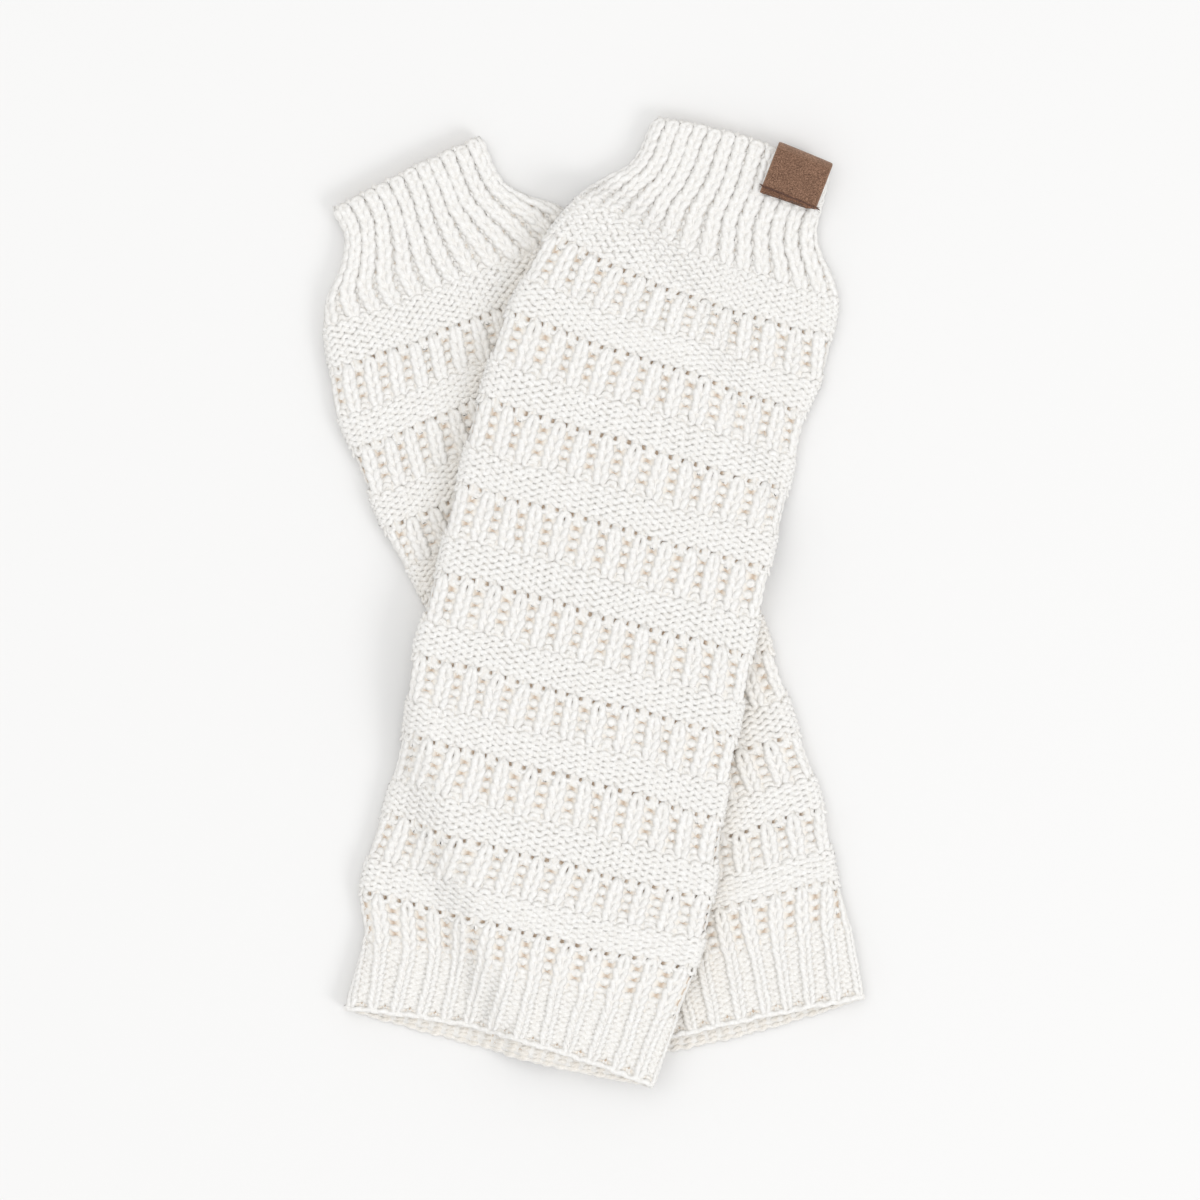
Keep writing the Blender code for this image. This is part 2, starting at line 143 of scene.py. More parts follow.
# How a zone is knitted: rib or purl, half the yarn's width, how deep a loop bends, how far a knit
# column stands out and a purl column lies back, the knit column's share of a rib's width, and how
# far the zone stands out at the folds
Knit = namedtuple("Knit", "rib radius depth knit_out purl_out knit_share swell")
KNITS = {
    "cuff": Knit(True, 1.66, 0.55, 0.35, -0.80, 0.84, 0.0),
    "rib": Knit(True, 1.60, 0.66, 0.45, -0.70, 0.61, -0.7),
    "purl": Knit(False, 1.28, 0.55, 0.42, 0.42, 0.50, 0.7),
    "hem": Knit(True, 1.46, 0.62, 0.45, -0.65, 0.58, -0.7),
    "fine": Knit(True, 1.22, 0.38, 0.80, -0.40, 0.54, 0.0),
}
# The yarn's height for its width, the depth of a column that neither stands out nor lies back, and
# the first knit column's place, in stitches from the left fold
YARN_FLATNESS = 0.58
NEUTRAL_DEPTH = 2.3
KNIT_CENTRE = 0.62
# How far a loop's sides bulge over its neighbours in a knit column, in a welt and in a well
KNIT_BULGE, PURL_BULGE, WELL_BULGE = 0.19, 0.20, 0.24
# How much of its bend a knit loop's head keeps under a welt, and how much a well's rungs swell
TUCKED, RUNG_SWELL = 0.15, 0.28
# The rungs in the wells lie low, and the first ribs under a welt are drawn in, which leaves pits
RUNG_DROP = 2.2
DRAWN_IN, DRAWN_UNEVEN = 0.25, 0.30
# How much thinner the yarn gets at a welt's foot: in the ribs' heads and in the welt's last course
RIB_THINNING, WELT_THINNING = 0.12, 0.18
# How uneven the loops are: down the tube and out of it in millimetres, round it in stitches, and in
# width as a share, from loop to loop and along the yarn
UNEVEN_DOWN, UNEVEN_OUT, UNEVEN_ACROSS, UNEVEN_WIDTH, RIPPLE_WIDTH = 0.30, 0.10, 0.10, 0.07, 0.04
# How tightly each stitch of each course was pulled, from -1 to 1, for more courses than a tube has
TENSION = {name: rng.uniform(-1.0, 1.0, (160, ROUND)) for name in ("upper", "lower")}
# How many stitches further round each kind of unevenness reads the tension
WIDTH_SHIFT, DRAWN_SHIFT, OUT_SHIFT, ACROSS_SHIFT = 3, 5, 7, 11
# The lower tube's yarn looks warmer in the shade beside the upper one, as if it lay this much
# deeper, up to a limit, this far out
CROSSING_TINT, CROSSING_LIMIT, CROSSING_REACH = 2.5, 3.1, 8.0

# Waves that hand and wear have left: their size, their number round the tube, the millimetres down
# it for a radian, and their starts on the upper and on the lower tube
SIDEWAYS_WAVES = ((0.12, 3.0, 21.0, 0.0, 2.1), (0.09, 7.0, -13.0, 1.3, 3.4))
DOWNWARD_WAVES = ((0.45, 4.0, 34.0, 0.7, 2.8), (0.35, 9.0, -19.0, 0.0, 4.2))
# Over how much of a tube's ends the downward waves grow from nothing
STEADY_REACH = 12.0
# How far every yarn stays above the floor
FLOOR_CLEARANCE = 0.02


def smooth_step(value):
    """0 below 0, 1 above 1, and a smooth ramp between."""
    value = np.clip(value, 0.0, 1.0)
    return value * value * (3.0 - 2.0 * value)


def read_stations(tube, along, column):
    """A column of a tube's station table at many distances down it, on a smooth curve."""
    places = np.array([station.along for station in tube.stations])
    values = np.array([getattr(station, column) for station in tube.stations])
    first, last = [0] + list(range(len(places) - 1)), list(range(1, len(places))) + [-1]
    slopes = (values[last] - values[first]) / (places[last] - places[first])
    index = np.clip(np.searchsorted(places, along, side="right") - 1, 0, len(places) - 2)
    run = places[index + 1] - places[index]
    share = np.clip((along - places[index]) / run, 0.0, 1.0)
    square, cube = share ** 2, share ** 3
    return ((2 * cube - 3 * square + 1) * values[index]
            + (cube - 2 * square + share) * slopes[index] * run
            + (3 * square - 2 * cube) * values[index + 1]
            + (cube - square) * slopes[index + 1] * run)


def rim_dent(tube, along, place):
    """How far the sewn patch has pulled the upper tube's rim down near it. place is -1 to 1."""
    if tube is LOWER:
        return np.zeros_like(place)
    near = 1.0 - smooth_step((along - tube.stations[0].along) / RIM_DENT_REACH)
    return RIM_DENT * smooth_step((place - RIM_DENT_START) / RIM_DENT_RUN) * near


def to_world(tube, across, along):
    """Places on a tube, seen from above, in the part's frame."""
    cosine, sine = math.cos(tube.turn), math.sin(tube.turn)
    return (tube.start_x + cosine * across + sine * along,
            tube.start_y + sine * across - cosine * along)


def outside(tube, x, y):
    """How far places seen from above lie outside a tube's outline."""
    cosine, sine = math.cos(tube.turn), math.sin(tube.turn)
    from_x, from_y = x - tube.start_x, y - tube.start_y
    across, along = cosine * from_x + sine * from_y, sine * from_x - cosine * from_y
    first, last = tube.stations[0], tube.stations[-1]
    row = np.clip(along, first.along, last.along)
    left, right = read_stations(tube, row, "left"), read_stations(tube, row, "right")
    beside = np.maximum(left - across, across - right)
    place = np.clip((2.0 * across - left - right) / (right - left), -1.0, 1.0)
    rim = first.along + place * first.tilt + (1.0 - place ** 2) * first.bow
    hem = last.along + place * last.tilt + last.back
    beyond = np.maximum(rim - along, along - hem)
    both = np.hypot(np.maximum(beside, 0.0), np.maximum(beyond, 0.0))
    return np.where((beside > 0.0) & (beyond > 0.0), both, np.maximum(beside, beyond))


def lift(tube, across, along):
    """How high a tube's underside lies: the upper one drapes over the lower one."""
    if tube is LOWER:
        return np.zeros_like(across)
    apart = outside(LOWER, *to_world(tube, across, along))
    return (THICK + SEAM_GAP) * (1.0 - smooth_step((apart - DRAPE_FLAT) / DRAPE_RUN))


def section(half_width, around):
    """The flattened tube's outer section. around is 0 to 1 over the top, 1 to 2 underneath."""
    under = around >= 1.0
    share = np.where(under, 2.0 - around, around)
    half_thick = THICK / 2.0
    quarter = math.pi / 2.0 * math.sqrt((FOLD_REACH ** 2 + half_thick ** 2) / 2.0)
    flat = 2.0 * (half_width - FOLD_REACH)
    arc = share * (flat + 2.0 * quarter)
    from_left, from_right = arc, flat + 2.0 * quarter - arc
    near = np.minimum(from_left, from_right)
    side = np.where(from_left < from_right, -1.0, 1.0)
    angle = np.clip(near / quarter, 0.0, 1.0) * math.pi / 2.0
    on_fold = side * (half_width - FOLD_REACH + FOLD_REACH * np.cos(angle))
    across = np.where(near < quarter, on_fold, arc - quarter - flat / 2.0)
    rise = half_thick * np.sin(angle)
    normal_x, normal_z = side * half_thick * np.cos(angle), FOLD_REACH * np.sin(angle)
    length = np.hypot(normal_x, normal_z)
    normal_x, normal_z = normal_x / length, normal_z / length
    flip = np.where(under, -1.0, 1.0)
    return across, half_thick + flip * rise, normal_x, flip * normal_z


def lay(tube, around, along, depth, swell=0.0):
    """Points in the part's frame, in millimetres, and the outward normals there.

    around is 0 to 2 round the tube from its left fold over the top, along the distance down it
    and depth the distance inside the crests of the ribs.
    """
    left, right = read_stations(tube, along, "left"), read_stations(tube, along, "right")
    centre, half_width = (left + right) / 2.0, (right - left) / 2.0
    across, height, normal_x, normal_z = section(half_width + swell, around)
    across = centre + across - depth * normal_x
    place = np.clip((across - centre) / half_width, -1.0, 1.0)
    middle = 1.0 - place ** 2
    tilt, bow = read_stations(tube, along, "tilt"), read_stations(tube, along, "bow")
    row = along + tilt * place + bow * middle + rim_dent(tube, along, place)
    under = around >= 1.0
    row = row + np.where(under, read_stations(tube, along, "back") * middle, 0.0)
    height = height - depth * normal_z + lift(tube, across, row)
    if tube is UPPER:
        height = height + np.where(under, 0.0, CROWN * middle)
    x, y = to_world(tube, across, row)
    points = np.stack([x, y, height], axis=-1)
    cosine, sine = math.cos(tube.turn), math.sin(tube.turn)
    normals = np.stack([cosine * normal_x, sine * normal_x, normal_z], axis=-1)
    return points, normals


Course = namedtuple("Course", "along kind")


def courses_of(tube):
    """Every course down a tube: where it lies and how it is knitted."""
    zones = [station for station in tube.stations if station.zone]
    found = []

    def add(kind, first, pitch, count):
        found.extend(Course(first + index * pitch, kind) for index in range(count))

    for zone, after in zip(zones, zones[1:]):
        start, length = zone.along, after.along - zone.along
        if zone.zone == "cuff":
            pitch = (length - FIRST_CUFF) / (CUFF_ROWS - LAST_SHARE)
            add("cuff", start + FIRST_CUFF, pitch, CUFF_ROWS)
        elif zone.zone == "welt":
            pitch = length / (FIRST_WELT_ROWS - 1.0 + LAST_WELT_SHARE)
            add("purl", start + FIRST_WELT, pitch, FIRST_WELT_ROWS)
        elif zone.zone == "band":
            scale = length / REPEAT
            add("rib", start + FIRST_RIB * scale, RIB_ROW * scale, RIB_ROWS)
            add("purl", start + FIRST_PURL * scale, PURL_ROW * scale, PURL_ROWS)
        elif zone.zone == "hem":
            pitch = (length - FIRST_RIB) / (HEM_ROWS - LAST_SHARE)
            add("hem", start + FIRST_RIB, pitch, HEM_ROWS)
        elif zone.zone == "fine":
            pitch = (length - LAST_GAP) / (FINE_ROWS - LAST_SHARE)
            add("fine", start + LAST_SHARE * pitch, pitch, FINE_ROWS)
    return found


def softened(values):
    """A column's values over the courses, each mixed with its neighbours."""
    padded = np.concatenate([values[:1], values, values[-1:]])
    return 0.25 * padded[:-2] + 0.5 * padded[1:-1] + 0.25 * padded[2:]


def reaches(tube, courses, index):
    """How far a course's loops reach up and down: into the next course, or to the rim or the hem."""
    course = courses[index]
    radius = KNITS[course.kind].radius
    overlap = OVERLAP * radius * YARN_FLATNESS
    if index:
        up = 0.5 * (course.along - courses[index - 1].along) + overlap
    else:
        up = course.along - tube.stations[0].along - radius
    if index + 1 < len(courses):
        below = 0.5 * (courses[index + 1].along - course.along) + overlap
    else:
        below = tube.stations[-1].along - EDGE_RADIUS - course.along
    return up, below


def wave_sum(waves, tube, stitch, along):
    """The sum of some waves at places on a tube."""
    around = 2.0 * math.pi * stitch / ROUND
    total = 0.0
    for size, number, run, upper, lower in waves:
        start = upper if tube is UPPER else lower
        total = total + size * np.sin(number * around + along / run + start)
    return total


def place_round(tube, stitch, along):
    """Where a stitch lies round a tube, 0 to 2, and how far down, as hand and wear have left it."""
    stitch = stitch % ROUND
    over = np.where(stitch < STITCHES, stitch, ROUND - stitch) / STITCHES
    skew_left, skew_right = (read_stations(tube, along, side) for side in ("ribs_left", "ribs_right"))
    sideways = wave_sum(SIDEWAYS_WAVES, tube, stitch, along)
    around = (stitch + skew_left + (skew_right - skew_left) * over + sideways) / STITCHES % 2.0
    steady = smooth_step((along - tube.stations[0].along) / STEADY_REACH)
    steady = steady * smooth_step((tube.stations[-1].along - along) / STEADY_REACH)
    return around, along + wave_sum(DOWNWARD_WAVES, tube, stitch, along) * steady


def column(knit, knit_column):
    """How far a column stands out, and 1 where its legs lie in front, -1 where its heads do."""
    return (np.where(knit_column, knit.knit_out, knit.purl_out),
            np.where(knit_column & knit.rib, 1.0, -1.0))


def crossing_shade(points, depth):
    """The lower tube's depths, with the colour of the shade beside the upper tube mixed in."""
    apart = outside(UPPER, points[:, 0], points[:, 1])
    shade = CROSSING_TINT * np.exp(-np.maximum(apart, 0.0) / CROSSING_REACH)
    return np.maximum(depth, np.minimum(depth + shade, CROSSING_LIMIT))


class Loops:
    """The yarn of some stitches of one course, at points so many steps to a stitch apart.

    turn goes from -pi to pi through a loop. bend is 1 at its top and bottom, sway in its middle.
    """

    def __init__(self, tube, courses, index, steps, first, count):
        self.tube, self.courses, self.index = tube, courses, index
        self.course = courses[index]
        self.knit = KNITS[self.course.kind]
        self.above = KNITS[courses[max(index - 1, 0)].kind]
        self.phase = np.arange(count * steps + 1) / steps
        within = np.minimum(np.floor(self.phase).astype(int), count - 1)
        self.stitch = within + first
        self.number = self.stitch % ROUND
        self.is_knit = self.number % 2 == 0
        self.turn = (self.phase - within) * 2.0 * math.pi - math.pi
        self.upper = np.abs(self.turn) < math.pi / 2.0
        self.bend, self.sway = np.cos(self.turn) ** 2, np.cos(self.turn / 2.0) ** 2
        self.under_welt = self.knit.rib and not self.above.rib

    def tension(self, shift=0):
        """How tightly the stitches were pulled, read so many stitches further round."""
        return TENSION[self.tube.name][self.index][(self.number + shift) % ROUND]

    def out(self):
        """How far the yarn stands out: its legs, its heads and its sinkers between stitches."""
        depth = self.knit.depth
        here, front = column(self.knit, self.is_knit)
        above, front_above = column(self.above, self.is_knit)
        next_knit = (self.number + np.where(self.turn < 0.0, -1, 1)) % 2 == 0
        beside, front_beside = column(self.knit, next_knit)
        tucked = np.where(self.is_knit, TUCKED if self.under_welt else 1.0, 1.0)
        leg = here + front * depth
        head = 0.5 * (here + above) - front_above * depth * tucked
        sinker = 0.5 * (here + beside) - 0.5 * depth * (front + front_beside)
        out = leg * (1.0 - self.bend) + np.where(self.upper, head, sinker) * self.bend
        return out + UNEVEN_OUT * self.tension(OUT_SHIFT) * self.sway

    def across(self):
        """Where the yarn lies round the tube, in stitches. Knit columns are wider than purl ones."""
        rib = self.knit.rib
        shares = softened(np.array([KNITS[item.kind].knit_share for item in self.courses]))
        share, share_above = shares[self.index], shares[max(self.index - 1, 0)]
        wide = np.where(self.upper, 0.5 * (share + share_above), share)
        half = np.where(self.is_knit, wide, 1.0 - wide)
        half_edge = np.where(self.is_knit, share, 1.0 - share)
        edge = smooth_step((np.abs(self.turn) - math.pi / 2.0) / (math.pi / 2.0))
        half = half * (1.0 - edge) + half_edge * edge
        bulge = np.where(self.is_knit & rib, KNIT_BULGE, WELL_BULGE if rib else PURL_BULGE)
        if self.under_welt:
            drawn = DRAWN_IN + DRAWN_UNEVEN * self.tension(DRAWN_SHIFT)
            bulge = np.where(self.upper, drawn * bulge, bulge)
        swing = self.turn / math.pi + 2.0 * bulge * np.sin(2.0 * self.turn)
        across = self.stitch + KNIT_CENTRE + half * swing
        return across + UNEVEN_ACROSS * self.tension(ACROSS_SHIFT) * self.sway

    def down(self):
        """How far down the tube the yarn lies. Rungs in the wells lie lower than the ribs' loops."""
        up, below = reaches(self.tube, self.courses, self.index)
        down = self.course.along - np.where(self.upper, up, below) * np.cos(self.turn)
        down = down + UNEVEN_DOWN * self.tension() * self.sway
        if self.course.kind in ("rib", "hem"):
            down = down + np.where(self.is_knit, 0.0, RUNG_DROP * self.sway)
        return down

    def radius(self):
        """Half the yarn's width: uneven, swollen in the rungs and thinner where a welt meets ribs."""
        ripple = 0.4 * np.sin(3.1 * self.phase + 5.0 * self.tension())
        ripple = ripple + 0.5 * np.sin(1.3 * self.phase + self.index)
        ripple = ripple + 0.5 * np.sin(11.7 * self.phase + 2.0 * self.index)
        uneven = UNEVEN_WIDTH * self.tension(WIDTH_SHIFT) * self.sway
        radius = self.knit.radius * (1.0 + uneven + RIPPLE_WIDTH * ripple)
        swell = np.where(self.is_knit | (not self.knit.rib), 0.0, RUNG_SWELL * self.sway)
        below = KNITS[self.courses[min(self.index + 1, len(self.courses) - 1)].kind]
        thinning = np.where(self.upper, RIB_THINNING * self.under_welt,
                            WELT_THINNING * (below.rib and not self.knit.rib))
        return radius * (1.0 + swell) * (1.0 - thinning * self.bend)

    def path(self):
        """The yarn's line, with its normals, half width and depth in the cloth; on the lower tube that
        depth also carries the painted shade beside the upper tube.
        """
        around, down = place_round(self.tube, self.across(), self.down())
        depth = NEUTRAL_DEPTH - self.out()
        points, normals = lay(self.tube, around, down, depth, self.knit.swell)
        if self.tube is LOWER:
            depth = crossing_shade(points, depth)
        return points, normals, self.radius(), depth


def unit(vectors):
    """Vectors, each made one long."""
    return vectors / np.maximum(np.linalg.norm(vectors, axis=-1, keepdims=True), 1e-9)


def tube_faces(index, flip=False):
    """Four-sided faces between the rows of a grid of point numbers that closes round."""
    follow = np.roll(index, -1, axis=1)
    faces = np.stack([index[:-1], follow[:-1], follow[1:], index[1:]], axis=-1).reshape(-1, 4)
    return faces[:, [0, 3, 2, 1]] if flip else faces


class YarnMesh:
    """Gathers many yarns, each a tube of a few sides, into one mesh."""

    def __init__(self):
        self.points, self.faces = [], []
        self.values = {"depth": [], "length": [], "turn": []}
        self.total = 0

    def add(self, points, normals, radius, depth, sides, flatten=YARN_FLATNESS):
        """A yarn along a line. Its section is set by the surface's normals, so it doesn't twist."""
        count = len(points)
        ahead = unit(np.gradient(points, axis=0))
        beside = unit(np.cross(ahead, normals))
        up = np.cross(beside, ahead)
        angles = 2.0 * math.pi * (np.arange(sides) + 0.5) / sides - math.pi / 2.0
        ring = (np.cos(angles)[None, :, None] * beside[:, None, :]
                + flatten * np.sin(angles)[None, :, None] * up[:, None, :])
        radius = np.broadcast_to(radius, (count,))[:, None]
        made = points[:, None, :] + ring * radius[:, :, None]
        made[..., 2] = np.maximum(made[..., 2], FLOOR_CLEARANCE)
        self.points.append(made.reshape(-1, 3))
        self.faces.append(tube_faces(np.arange(count * sides).reshape(count, sides) + self.total))
        # Each point's colour depth grows on the yarn's inward side, so the material paints shade there
        level = np.broadcast_to(depth, (count,))[:, None] - radius * np.sin(angles)[None, :] * flatten
        step = np.linalg.norm(np.diff(points, axis=0), axis=1)
        length = np.concatenate([[0.0], np.cumsum(step)])
        self.values["depth"].append(level.ravel())
        self.values["length"].append(np.repeat(length, sides))
        self.values["turn"].append(np.tile(angles / (2.0 * math.pi) + 0.25, count))
        self.total += count * sides

    def make(self, name, material):
        """The object, with each point's depth in the cloth, which the material paints as shade, and its
        place along and round its yarn.
        """
        values = {label: np.concatenate(parts) for label, parts in self.values.items()}
        return add_mesh(name, np.concatenate(self.points), np.concatenate(self.faces), values, material)


def add_mesh(name, points, faces, values, material):
    """An object of four-sided faces, with named numbers at its points for the material."""
    mesh = bpy.data.meshes.new(name)
    mesh.vertices.add(len(points))
    mesh.vertices.foreach_set("co", (points * MM).astype(np.float32).ravel())
    mesh.loops.add(faces.size)
    mesh.loops.foreach_set("vertex_index", faces.astype(np.int32).ravel())
    mesh.polygons.add(len(faces))
    mesh.polygons.foreach_set("loop_start", np.arange(0, faces.size, 4, dtype=np.int32))
    mesh.update(calc_edges=True)
    return finish_mesh(mesh, values, material)


def finish_mesh(mesh, values, material):
    """The smooth object of a mesh, with named numbers at its points."""
    for label, numbers in values.items():
        layer = mesh.attributes.new(label, "FLOAT", "POINT")
        layer.data.foreach_set("value", numbers.astype(np.float32))
    mesh.shade_smooth()
    mesh.materials.append(material)
    item = bpy.data.objects.new(mesh.name, mesh)
    bpy.context.scene.collection.objects.link(item)
    return item


def node(tree, kind, **settings):
    """A shader node with some of its settings made."""
    made = tree.nodes.new(kind)
    for name, value in settings.items():
        setattr(made, name, value)
    return made


def ramp(tree, place, stops):
    """The colour at a place, 0 to 1, on a ramp of (place, colour) stops."""
    made = tree.nodes.new("ShaderNodeValToRGB")
    elements = made.color_ramp.elements
    while len(elements) < len(stops):
        elements.new(0.5)
    for element, (position, color) in zip(elements, stops):
        element.position = position
        element.color = (*color, 1.0)
    tree.links.new(place, made.inputs[0])
    return made.outputs["Color"]


# The yarn's colour at some depths in millimetres inside the crests, cream at the crests and painted
# shade, warmer and darker, deeper in, and the deepest of them
YARN_COLORS_AND_SHADE = ((0.0, (0.965, 0.955, 0.938)), (1.6, (0.962, 0.946, 0.92)), (2.4, (0.955, 0.93, 0.89)),
               (3.1, (0.92, 0.87, 0.80)), (4.0, (0.67, 0.535, 0.42)), (4.6, (0.54, 0.40, 0.295)))
COLOR_DEPTH = 4.6
# How far along a strand its plies go once round it, and how high fibre and plies stand in its bump
YARN_TWIST, THREAD_TWIST = 2.2, 0.714
FIBRE_HEIGHT, PLY_HEIGHT = 1.6, 0.28


def math_node(tree, operation, first, second):
    """A maths node on two inputs, each a socket or a number."""
    made = node(tree, "ShaderNodeMath", operation=operation)
    for index, value in enumerate((first, second)):
        if isinstance(value, (int, float)):
            made.inputs[index].default_value = value
        elif value is not None:
            tree.links.new(value, made.inputs[index])
    return made.outputs[0]

def attribute(tree, name):
    """A number that each point of a mesh carries."""
    return node(tree, "ShaderNodeAttribute", attribute_name=name).outputs["Fac"]


def noise_node(tree, vector, scale, detail, roughness):
    """A noise texture's strength at a place."""
    made = node(tree, "ShaderNodeTexNoise")
    made.inputs["Scale"].default_value = scale
    made.inputs["Detail"].default_value = detail
    made.inputs["Roughness"].default_value = roughness
    tree.links.new(vector, made.inputs["Vector"])
    return made.outputs["Fac"]


def multiply_colors(tree, first, second):
    """Two colours multiplied."""
    made = node(tree, "ShaderNodeMix", data_type="RGBA", blend_type="MULTIPLY")
    made.inputs["Factor"].default_value = 1.0
    tree.links.new(first, made.inputs["A"])
    tree.links.new(second, made.inputs["B"])
    return made.outputs["Result"]


def ply_height(tree, twist):
    """The plies of a twisted strand, from -1 to 1, from the place along and round it."""
    turned = math_node(tree, "ADD", math_node(tree, "DIVIDE", attribute(tree, "length"), twist),
                       attribute(tree, "turn"))
    return math_node(tree, "SINE", math_node(tree, "MULTIPLY", turned, 2.0 * math.pi), None)


def new_material(name, inputs):
    """A material, its node tree and its shader, with some of the shader's inputs set."""
    material = bpy.data.materials.new(name)
    material.use_nodes = True
    shader = material.node_tree.nodes["Principled BSDF"]
    for label, value in inputs.items():
        shader.inputs[label].default_value = value
    return material, material.node_tree, shader


def add_bump(tree, shader, height, strength, distance):
    """Bump for a shader from a height."""
    bump = node(tree, "ShaderNodeBump")
    bump.inputs["Strength"].default_value = strength
    bump.inputs["Distance"].default_value = distance
    tree.links.new(height, bump.inputs["Height"])
    tree.links.new(bump.outputs["Normal"], shader.inputs["Normal"])


def yarn_material(name, plies):
    """Soft acrylic yarn: cream crests, with painted shade, warmer and darker, where it lies deep, with
    plies and loose fibre.
    """
    material, tree, shader = new_material(name, {
        "Roughness": 0.95, "Specular IOR Level": 0.15, "Sheen Weight": 0.6, "Sheen Roughness": 0.5,
        "Sheen Tint": (1.0, 0.985, 0.95, 1.0)})
    # The colour darkens and warms with depth: painted shade in the hollows between the yarns
    depth = math_node(tree, "DIVIDE", attribute(tree, "depth"), COLOR_DEPTH)
    color = ramp(tree, depth, [(deep / COLOR_DEPTH, tint) for deep, tint in YARN_COLORS_AND_SHADE])
    place = node(tree, "ShaderNodeTexCoord").outputs["Object"]
    cloud = noise_node(tree, place, scale=620.0, detail=5.0, roughness=0.75)
    shade = ramp(tree, cloud, [(0.34, (0.90, 0.885, 0.86)), (0.60, (1.0, 1.0, 1.0))])
    tree.links.new(multiply_colors(tree, color, shade), shader.inputs["Base Color"])
    fibre = noise_node(tree, place, scale=1500.0, detail=5.0, roughness=0.75)
    height = math_node(tree, "MULTIPLY", fibre, FIBRE_HEIGHT)
    if plies:
        ply = math_node(tree, "MULTIPLY", ply_height(tree, YARN_TWIST), PLY_HEIGHT)
        height = math_node(tree, "ADD", height, ply)
    add_bump(tree, shader, height, strength=0.55, distance=0.0006)
    return material


# The depths of the thin cloth behind the stitches: in a welt, behind a knit column, at a column's
# edge, in a well, in the pits above a rib band, in the cuff's grooves, and of its inner face
WELT_FILL, KNIT_FILL, EDGE_FILL, WELL_FILL, PIT_FILL = 1.9, 1.05, 1.8, 2.5, 2.8
CUFF_GROOVE_FILL = 2.4
INNER_FILL = 3.9
# How far the cloth stays inside the rim and the hem, its rows' pitch, and every how many rows the
# inner face has one
SHELL_RIM_GAP, SHELL_HEM_GAP = 2.6, 2.2
FILL_ROW, INNER_STEP = 1.3, 6
# How far above the line where a rib band starts the pits begin, how far below it they end, and how
# far below it the first openings end
PITS_START, PITS_END, FIRST_OPENING_END = 2.4, 0.7, 2.9
# The colour depths that go with some depths of the cloth, and the inner face's: painted shade on the
# yarn's ramp, darkest in the pits and wells
FILL_LEVELS, FILL_SHADE_TINTS = (1.0, 2.0, 2.5, 2.8), (1.8, 2.6, 4.15, 4.5)
INSIDE_SHADE_TINT = 1.8


def fill_row(zone, next_zone, below, above):
    """A row's depths at a knit column, its edge and a well, so far below and above its zone's ends."""
    if zone in ("band", "hem") and below < PITS_END:
        return [KNIT_FILL, PIT_FILL, KNIT_FILL]
    if zone in ("band", "hem") and below < FIRST_OPENING_END:
        return [PIT_FILL, EDGE_FILL, KNIT_FILL]
    if next_zone in ("band", "hem") and above < PITS_START:
        return [KNIT_FILL, PIT_FILL, KNIT_FILL]
    if zone in ("cuff", "hem", "fine", "end") or (
            zone == "band" and below < RIB_SHARE * (below + above)):
        return [KNIT_FILL, EDGE_FILL, CUFF_GROOVE_FILL if zone == "cuff" else WELL_FILL]
    return [WELT_FILL] * 3


def fill_depths(tube, along):
    """The cloth's depths in rows down a tube, at a knit column, its edge and a well."""
    zones = [(station.along, station.zone) for station in tube.stations if station.zone]
    rows = []
    for place in along:
        index = sum(start <= place + 1e-6 for start, _zone in zones) - 1
        start, zone = zones[index]
        end, next_zone = zones[index + 1]
        rows.append(fill_row(zone, next_zone, place - start, end - place))
    return np.array(rows)


def make_shell(tube, material):
    """A tube's cloth: a closed thin shell, whose outer face rises behind knit columns only."""
    start, end = tube.stations[0].along + SHELL_RIM_GAP, tube.stations[-1].along - SHELL_HEM_GAP
    rows, columns = int((end - start) / FILL_ROW), 2 * ROUND
    along = np.linspace(start, end, rows)
    stitch = KNIT_CENTRE + np.arange(columns) / 2.0
    around, down = place_round(tube, *np.meshgrid(stitch, along))
    knit_edge_well_edge = np.array([0, 1, 2, 1])[np.arange(columns) % 4]
    depth = fill_depths(tube, along)[:, knit_edge_well_edge]
    outer, _normals = lay(tube, around, down, depth)
    inner, _normals = lay(tube, around, down, np.full(around.shape, INNER_FILL))
    inner_rows = np.unique(np.append(np.arange(0, rows, INNER_STEP), rows - 1))
    outer_grid = np.arange(rows * columns).reshape(rows, columns)
    inner_grid = np.arange(len(inner_rows) * columns).reshape(-1, columns) + outer_grid.size
    faces = np.concatenate([tube_faces(outer_grid, flip=True), tube_faces(inner_grid),
                            tube_faces(np.stack([outer_grid[0], inner_grid[0]])),
                            tube_faces(np.stack([outer_grid[-1], inner_grid[-1]]), flip=True)])
    points = np.concatenate([outer.reshape(-1, 3), inner[inner_rows].reshape(-1, 3)])
    # The cloth's colour is painted shade: darker the deeper it lies, darkest in the pits and wells
    shade_tints = np.interp(depth, FILL_LEVELS, FILL_SHADE_TINTS).ravel()
    shade_tints = np.concatenate([shade_tints, np.full(inner_grid.size, INSIDE_SHADE_TINT)])
    return add_mesh(f"cloth_{tube.name}", points, faces, {"depth": shade_tints}, material)


# Steps to a stitch and sides round its yarn: where the camera sees it, the same in a purl course, on
# the underside and under the other tube
SEEN, SEEN_PURL, BENEATH, HIDDEN = (12, 5), (10, 5), (5, 3), (4, 3)
# How many stitches beyond each fold are cut finely too, how many of the underside's last courses,
# and how far inside the upper tube's outline the lower one counts as hidden
ROUND_FOLD = 2
HEM_SEEN = 4
HIDDEN_INSIDE = 9.0
# The strands of the hem: steps to a stitch, how far above the end the bound edge lies and how deep,
# and the same for the rows of the inner side, with their number, pitch and half width
EDGE_STEPS = 8
BOUND_ABOVE, BOUND_DEPTH = 0.2, 1.55
INSIDE_ABOVE, INSIDE_DEPTH = 0.6, 3.2
INSIDE_ROWS, INSIDE_PITCH, INSIDE_RADIUS = 5, 1.9, 1.25
